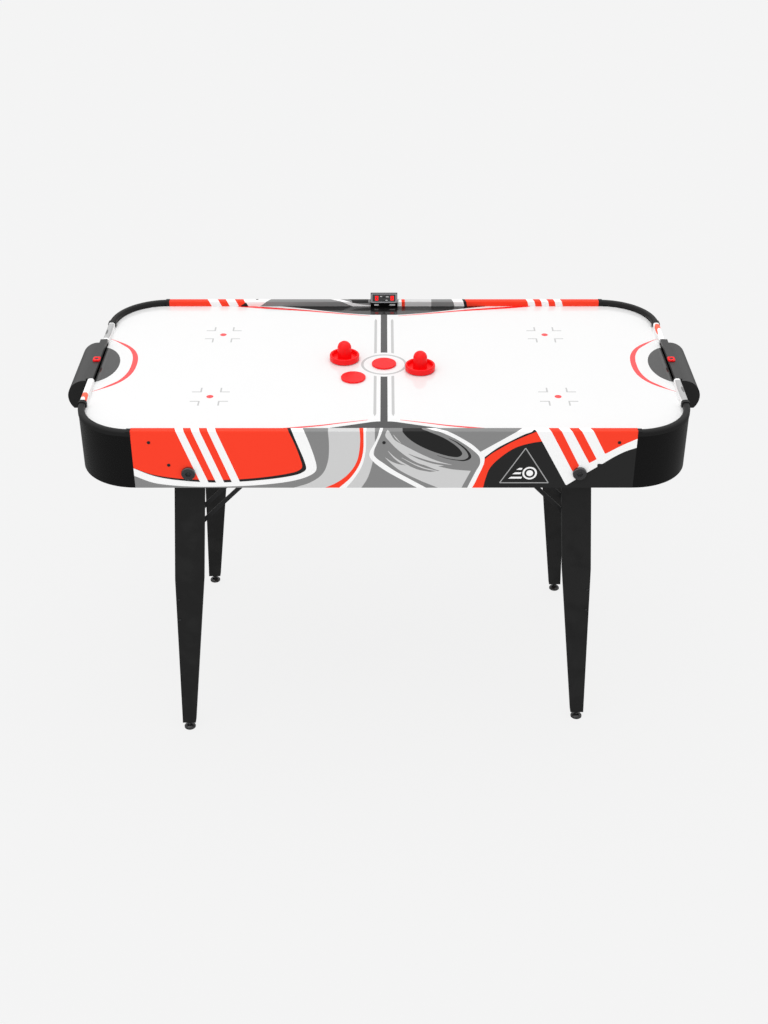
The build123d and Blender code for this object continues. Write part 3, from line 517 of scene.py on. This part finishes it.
# ---- The playfield ----
SIGNS = [(x, y) for x in (1, -1) for y in (1, -1)]
corner_x, corner_y = FIELD_X - FIELD_CORNER, FIELD_Y - FIELD_CORNER
quarter = [
    Vector((corner_x + FIELD_CORNER * cos(t), corner_y + FIELD_CORNER * sin(t)))
    for t in (radians(10 * i) for i in range(10))
]
field_sheet = [
    p
    for x, y in ((1, 1), (-1, 1), (-1, -1), (1, -1))
    for p in flipped(quarter if x * y > 0 else quarter[::-1], x, y)
]
PAST_FIELD = 316  # just past the playfield's long edges
CRESCENT_OUT = [(630, 133.5), (613, 123), (585, 101), (566, 77), (553, 45), (548.3, 0)]
CRESCENT_IN = [(560.5, 0), (564, 42), (577, 78), (595, 100), (613, 119.5), (630, 133)]
FLARES = {  # by the sign of Y: the dark flare, the red line beside it, and that line's widths
    1: ([(0, 265.5), (35, 265.8), (105, 278), (182, 299), (235, 312), (250, PAST_FIELD)],
        [(33, 259), (95, 271), (190, 290.4), (300, 308), (350, 317)],
        [1.8, 4.6, 7.6, 10.5, 9]),
    -1: ([(0, 265.5), (12, 265.5), (20, 266.5), (40, 272), (80, 284), (100, 290), (188, PAST_FIELD)],
         [(34, 259), (90, 272.5), (131, 283), (177, 291.6), (260, 308), (300, 317)],
         [1.8, 3.8, 5.6, 8, 10]),
}
CENTRE_LINE = 7.5  # half its width
RINGS = ((FIELD_WHITE, 60), (FIELD_LIGHT, 51), (FIELD_WHITE, 45.4))
GOAL_D = (644.7, (57.7, 90))  # the middle's X, and the radii
GOAL_SLOT = (619.5, 630, 82.5)  # its two sides' X, and half its length
SPOT = (371, 154.5)  # a face-off spot
SPOT_R = 7.5
BRACKET = (19.5, 20)  # from a spot to the corner of a bracket
BRACKET_ARM = 21
BRACKET_LINE = 3.4
side_line = outline((16.2, 55), (22.2, 55), (22.2, 232), (19.2, 243), (16.2, 232))
bracket = outline(
    (0, 0), (BRACKET_ARM, 0), (BRACKET_ARM, BRACKET_LINE), (BRACKET_LINE, BRACKET_LINE),
    (BRACKET_LINE, BRACKET_ARM), (0, BRACKET_ARM),
)

field_prints = []
for x, y in SIGNS:
    flare, line, widths = FLARES[y]
    field_prints += [
        (FIELD_GREY, flipped(outline(flare, (0, PAST_FIELD)), x, y)),
        (FIELD_RED, flipped(stroke(line, widths), x, y)),
        (FIELD_LIGHT, flipped(side_line, x, y)),
        (FIELD_RED, ellipse((x * SPOT[0], y * SPOT[1]), (SPOT_R, SPOT_R), 24)),
    ]
    for bx, by in SIGNS:
        corner = Vector((x * SPOT[0] + bx * BRACKET[0], y * SPOT[1] + by * BRACKET[1]))
        field_prints.append((FIELD_LIGHT, [corner + p for p in flipped(bracket, bx, by)]))
field_prints.append((FIELD_GREY, box(-CENTRE_LINE, CENTRE_LINE, -PAST_FIELD, PAST_FIELD)))
field_prints += [(colour, ellipse((0, 0), (radius, radius))) for colour, radius in RINGS]
crescent = outline(
    CRESCENT_OUT + [(x, -y) for x, y in CRESCENT_OUT[-2::-1]],
    [(x, -y) for x, y in CRESCENT_IN[::-1]] + CRESCENT_IN[1:],
)
for x in (1, -1):
    field_prints += [
        (FIELD_RED, flipped(crescent, x)),
        (FIELD_GREY, ellipse((x * GOAL_D[0], 0), GOAL_D[1])),
        (INK_BLACK, box(*sorted((x * GOAL_SLOT[0], x * GOAL_SLOT[1])), -GOAL_SLOT[2], GOAL_SLOT[2])),
    ]


def field_place(point, lift):
    """Places a point of the playfield's sheet."""
    return Vector((point.x, point.y, FIELD_Z + lift))


playfield = printed("playfield", field_sheet, field_prints, field_place,
                    (0, -FIELD_DEPTH), FIELD_WHITE, gloss="field")
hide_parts("playfield_board")

# ---- The end rails: u across the rounded strip from its middle, v along it ----
FLAT_HALF = RAIL_WIDTH / 2 - RAIL_ROUND
ARC_SPAN = RAIL_ROUND * pi / 2
WALL_SPAN = rail_high.z - FIELD_Z - RAIL_ROUND
RAIL_PARTS = 5  # flat strips round each of its edges
RAIL_LENGTH = {"front": 112, "back": 98.5}
RAIL_COLLAR = 10  # how much of a rail's outer end is in its collar
HALF_SPAN = FLAT_HALF + ARC_SPAN + WALL_SPAN


def rail_place(turn_x, turn_y):
    """Places a point of a rail's sheet, with u growing towards the playfield."""

    def place(point, lift):
        u, v = point
        side = -1 if u < 0 else 1
        reach = min(abs(u), HALF_SPAN)
        angle = min(max(reach - FLAT_HALF, 0), ARC_SPAN) / RAIL_ROUND
        radius = RAIL_ROUND + lift
        across = min(reach, FLAT_HALF) + radius * sin(angle)
        down = max(reach - FLAT_HALF - ARC_SPAN, 0)
        z = rail_high.z - RAIL_ROUND + radius * cos(angle) - down
        return Vector((turn_x * (RAIL_X - side * across), turn_y * v, z))

    return place


rail_levels = [
    side * level
    for side in (1, -1)
    for level in [FLAT_HALF + ARC_SPAN * part / RAIL_PARTS for part in range(RAIL_PARTS + 1)]
]


def rail_patches(kind, inner):
    """The prints of one end rail, given where its inner end is."""
    if kind == "red_block":
        return [
            (RAIL_RED, outline((-HALF_SPAN, 158), (2, 158), [(2, 158), (7, 164), (9, 180), (10, 196)],
                               (4, 196), [(4, 196), (3, 184), (0, 178)], (-HALF_SPAN, 178))),
        ]
    if kind == "red_tail":
        return [
            (RAIL_RED, outline((-HALF_SPAN, 165), [(0, 165), (3, 159), (4.5, 145), (6, 131)],
                               [(6, 131), (8.5, 148), (8, 174), (3, 188)], (-HALF_SPAN, 188))),
        ]
    return [
        (RAIL_GREY, outline((-HALF_SPAN, inner + 6), [(6, inner + 6), (8, 135), (7, 191)],
                            (-HALF_SPAN, 191))),
        (RAIL_DARK, outline([(-3, 130), (-0.5, 137), (-0.8, 150), (-3, 158), (-5.6, 151),
                             (-5.4, 137), (-3, 130)])),
    ]


for end, side, kind in (
    ("front", "left", "red_block"),
    ("front", "right", "grey"),
    ("back", "left", "grey"),
    ("back", "right", "red_tail"),
):
    inner, outer = rail_high.y - RAIL_LENGTH[end], rail_high.y - RAIL_COLLAR
    sheet = box(-HALF_SPAN, HALF_SPAN, inner, outer)
    folds = [((level, inner), (level, outer)) for level in rail_levels]
    printed(f"{end}_{side}_rail_print", sheet, rail_patches(kind, inner),
            rail_place(SIDES[side], ENDS[end]), FILM, WHITE, folds=folds)


# ================= The scorer's face =================
def plate(name, shape, material, origin, up, normal, lifts):
    """A thin closed plate of the given outline on a face of the scorer."""
    ring = [origin + Vector((p.x, 0, 0)) + up * p.y for p in anticlockwise(shape)]
    count = len(ring)
    verts = [p + normal * lift for lift in lifts for p in ring]
    faces = [list(range(count)), list(range(2 * count - 1, count - 1, -1))]
    faces += [(i, i + count, (i + 1) % count + count, (i + 1) % count) for i in range(count)]
    table_piece(name, verts, faces, [material])


lens_low, lens_high = (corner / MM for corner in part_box("scorer_lens"))
LENS_RUN, LENS_RISE = 19.5, 17  # the display slopes up this much towards the back
LENS_HALF = 0.45  # half the display's thickness
LENS_UP = Vector((0, LENS_RUN, LENS_RISE)).normalized()
LENS_NORMAL = Vector((0, -LENS_RISE, LENS_RUN)).normalized()
lens_centre = (lens_low + lens_high) / 2
lens_face = Vector((0, *(LENS_NORMAL * LENS_HALF + lens_centre).yz))
digit_glow = surface("digit_glow", (200, 0, 4), 0.5, 0.02, 0.8, 0.02, Specular_IOR_Level=0.1,
                     Emission_Color=linear((255, 10, 16)), Emission_Strength=1.1)
SEGMENT = (7.4, 12, 2.7)  # a digit's width, height and stroke
SEGMENT_GAP = 0.3  # between an upright bar and what is above or below it
# How far above its face the top of each kind of plate is, and its underside.
SEGMENT_LIFTS = (0.25, -0.25)
MARK_LIFTS = (0.12, -0.18)
LABEL_LIFTS = (0.15, -0.15)
LABEL_Z = 794
LABEL_HIGH = 3.8
MARK_HIGH = 2


def bar(x0, x1, y0, y1, cut=0.55):
    """A segment of a digit: a bar with cut corners."""
    return [Vector(p) for p in (
        (x0 + cut, y0), (x1 - cut, y0), (x1, y0 + cut), (x1, y1 - cut),
        (x1 - cut, y1), (x0 + cut, y1), (x0, y1 - cut), (x0, y0 + cut),
    )]


def digit(name, x):
    """A seven-segment nought, as a ring of six bars."""
    wide, high, line = SEGMENT
    left, right = x - wide / 2, x + wide / 2
    bars = [bar(left + line, right - line, y, y + line) for y in (-high / 2, high / 2 - line)]
    for side in (left, right - line):
        bars.append(bar(side, side + line, -high / 2 + SEGMENT_GAP, -SEGMENT_GAP))
        bars.append(bar(side, side + line, SEGMENT_GAP, high / 2 - SEGMENT_GAP))
    for i, shape in enumerate(bars):
        plate(f"{name}_{i}", shape, digit_glow, lens_face, LENS_UP, LENS_NORMAL, SEGMENT_LIFTS)


for name, x in (("left_digit", -17.5), ("right_digit", 19.5)):
    digit(name, x)
for name, x, wide in (("left_label", -18, 10), ("right_label", 20, 13)):
    plate(name, box(x - wide / 2, x + wide / 2, -LABEL_HIGH / 2, LABEL_HIGH / 2), ink(LABEL_GREY),
          Vector((0, scorer_low.y, LABEL_Z)), Vector((0, 0, 1)), Vector((0, -1, 0)), LABEL_LIFTS)
for name, x, y, wide in (
    ("name_patch", -7, 4.6, 5),
    ("name_patch_right", 8, 3.6, 7),
    ("mark", 6, -5.4, 5),
):
    shape = box(x - wide / 2, x + wide / 2, y - MARK_HIGH / 2, y + MARK_HIGH / 2)
    plate(f"scorer_{name}", shape, ink(MARK_GREY), lens_face, LENS_UP, LENS_NORMAL, MARK_LIFTS)

# ================= Materials of the CAD nodes =================
# Each surface's colour is followed by its roughness, drift of colour, grain size and bump.
moulded_black = surface("moulded_black", (33, 33, 34), 0.42, 0.06, 0.7, 0.10, Specular_IOR_Level=0.4)
corner_black = surface("corner_black", (5, 5, 5), 0.27, 0.05, 0.9, 0.05, Specular_IOR_Level=0.45)
trim_black = surface("trim_black", (30, 30, 30), 0.45, 0.05, 0.9, 0.06, Specular_IOR_Level=0.15)
hood_black = surface("hood_plastic", (4, 4, 4), 0.45, 0.05, 0.6, 0.12, Specular_IOR_Level=0.8)
rail_white = surface("rail_white", WHITE, 0.3, 0.01, 1.5, 0.02, Specular_IOR_Level=0.4)
bezel_grey = surface("bezel_grey", (118, 119, 122), 0.35, 0.04, 0.6, 0.05, Metallic=0.2)
scorer_black = surface("scorer_black", (3, 3, 3), 0.35, 0.05, 0.7, 0.04, Specular_IOR_Level=0.1)
red_gloss = surface("red_gloss", (250, 12, 18), 0.36, 0.03, 1.4, 0.02, Specular_IOR_Level=0.26)
dark_lens = surface("dark_window", (12, 12, 14), 0.12, 0.1, 3, 0.01, Specular_IOR_Level=0.35)
leg_black = wood("leg_laminate", (35, 35, 35), (30, 30, 30), 0.5, Specular_IOR_Level=0.2)
board_black = wood("board_black", (33, 33, 33), (28, 28, 28), 0.5, Specular_IOR_Level=0.3)
edge_board = surface("apron_board", (236, 236, 234), 0.45, 0.02, 1.2, 0.05)
hardboard = wood("hardboard", (133, 99, 66), (112, 80, 52), 0.75, 30)
steel_black = surface("powder_coat", (33, 33, 34), 0.45, 0.06, 0.5, 0.18, Specular_IOR_Level=0.4)
bolt_black = surface("bolt_black", (46, 46, 48), 0.25, 0.06, 0.5, 0.06, Specular_IOR_Level=1.0)
screw_black = surface("screw_black", (42, 42, 44), 0.4, 0.06, 0.5, 0.1, Specular_IOR_Level=0.4)
steel = surface("zinc_steel", (178, 178, 182), 0.3, 0.1, 0.4, 0.08, Metallic=1.0)
foot_black = surface("foot_plastic", (28, 28, 29), 0.25, 0.05, 0.8, 0.05)
felt = surface("felt", (76, 76, 78), 0.95, 0.15, 0.35, 0.8, Sheen_Weight=0.4)

FINISH = {
    "printed_board": edge_board,
    "playfield": edge_board,
    "black_board": board_black,
    "leg_board": leg_black,
    "black_plastic": moulded_black,
    "goal_plastic": hood_black,
    "white_plastic": rail_white,
    "grey_plastic": bezel_grey,
    "red_plastic": red_gloss,
    "dark_lens": dark_lens,
    "hardboard": hardboard,
    "black_steel": steel_black,
    "bright_steel": steel,
    "foot_plastic": foot_black,
    "felt": felt,
}
OWN_FINISH = {  # of the nodes that look different from the rest of their slot
    "corner_trims": trim_black,
    "rail_collars": trim_black,
    "apron_clips": trim_black,
    "pivot_bolts": bolt_black,
    "scorer_housing": scorer_black,
}
for end in ENDS:
    for side in SIDES:
        OWN_FINISH[f"{end}_{side}_leg_fasteners"] = screw_black
        OWN_FINISH[f"{end}_{side}_corner_panel"] = corner_black
for part in frame["record"]["subparts"]:
    node = nodes[part["node"]]
    finish = OWN_FINISH.get(part["node"], FINISH[part["material_slot"]])
    for holder in node.material_slots:
        holder.material = finish

# ================= Floor, light and camera =================
FLOOR = 30  # metres from the middle to each side
FLOOR_ALBEDO = 0.06  # low, so that the object's shadow stays faint
FLOOR_GLOW = 0.836
BACKDROP = 0.905  # the studio as the camera sees it
FILL = 0.86  # the studio as it lights the object
GLOSS_BELOW, GLOSS_ABOVE = 0.2, 0.95  # the studio in reflections, below the horizon and above it
HORIZON = (-0.25, 0.2)  # the heights between which they turn from dark to bright
KEY_PLACE = (-2.2, -2.4, 3.6)
KEY_AIM = (0, 0, 0.7)
KEY_SIZE = 2.4
KEY_POWER = 18
OVERHEAD_POWER = 0.9
OVERHEAD_SPREAD = 70
CAMERA_PLACE = (0, -2.934, 2.231)
CAMERA_TILT = 31.94  # degrees down from level
CAMERA_LENS = 51.52

floor_mesh = bpy.data.meshes.new("floor")
floor_mesh.from_pydata(
    [(-FLOOR, -FLOOR, 0), (FLOOR, -FLOOR, 0), (FLOOR, FLOOR, 0), (-FLOOR, FLOOR, 0)], [], [(0, 1, 2, 3)]
)
floor = bpy.data.objects.new("floor", floor_mesh)
scene.collection.objects.link(floor)
pale = bpy.data.materials.new("floor_pale")
pale.use_nodes = True
pale_shader = pale.node_tree.nodes["Principled BSDF"]
pale_shader.inputs["Base Color"].default_value = (FLOOR_ALBEDO, FLOOR_ALBEDO, FLOOR_ALBEDO, 1)
pale_shader.inputs["Roughness"].default_value = 0.9
pale_shader.inputs["Specular IOR Level"].default_value = 0.0
pale_shader.inputs["Emission Color"].default_value = (1, 1, 1, 1)
pale_shader.inputs["Emission Strength"].default_value = FLOOR_GLOW
floor_mesh.materials.append(pale)
floor.visible_glossy = False

world = bpy.data.worlds.new("studio")
scene.world = world
world.use_nodes = True
sky = world.node_tree.nodes["Background"]
sky.inputs["Color"].default_value = (1, 1, 1, 1)
ray = world.node_tree.nodes.new("ShaderNodeLightPath")
direction = world.node_tree.nodes.new("ShaderNodeTexCoord")
height = world.node_tree.nodes.new("ShaderNodeSeparateXYZ")
gradient = world.node_tree.nodes.new("ShaderNodeMapRange")
gradient.inputs["From Min"].default_value = HORIZON[0]
gradient.inputs["From Max"].default_value = HORIZON[1]
gradient.inputs["To Min"].default_value = GLOSS_BELOW
gradient.inputs["To Max"].default_value = GLOSS_ABOVE
seen, lit = (world.node_tree.nodes.new("ShaderNodeMix") for _ in range(2))
lit.inputs["A"].default_value = FILL
seen.inputs["B"].default_value = BACKDROP
for start, end in (
    (direction.outputs["Generated"], height.inputs["Vector"]),
    (height.outputs["Z"], gradient.inputs["Value"]),
    (ray.outputs["Is Glossy Ray"], lit.inputs["Factor"]),
    (gradient.outputs["Result"], lit.inputs["B"]),
    (ray.outputs["Is Camera Ray"], seen.inputs["Factor"]),
    (lit.outputs["Result"], seen.inputs["A"]),
    (seen.outputs["Result"], sky.inputs["Strength"]),
):
    world.node_tree.links.new(start, end)

key_data = bpy.data.lights.new("key", "AREA")
key_data.size = KEY_SIZE
key_data.energy = KEY_POWER
key = bpy.data.objects.new("key", key_data)
key.location = KEY_PLACE
key.rotation_euler = (Vector(KEY_AIM) - Vector(KEY_PLACE)).to_track_quat("-Z", "Y").to_euler()
scene.collection.objects.link(key)

overhead_data = bpy.data.lights.new("overhead", "SUN")
overhead_data.energy = OVERHEAD_POWER
overhead_data.angle = radians(OVERHEAD_SPREAD)
overhead = bpy.data.objects.new("overhead", overhead_data)
scene.collection.objects.link(overhead)

camera_data = bpy.data.cameras.new("camera")
camera_data.lens = CAMERA_LENS
camera_data.sensor_width = 36
camera = bpy.data.objects.new("camera", camera_data)
camera.location = CAMERA_PLACE
camera.rotation_euler = (radians(90 - CAMERA_TILT), 0, 0)
scene.collection.objects.link(camera)
scene.camera = camera
scene.view_settings.view_transform = "Standard"
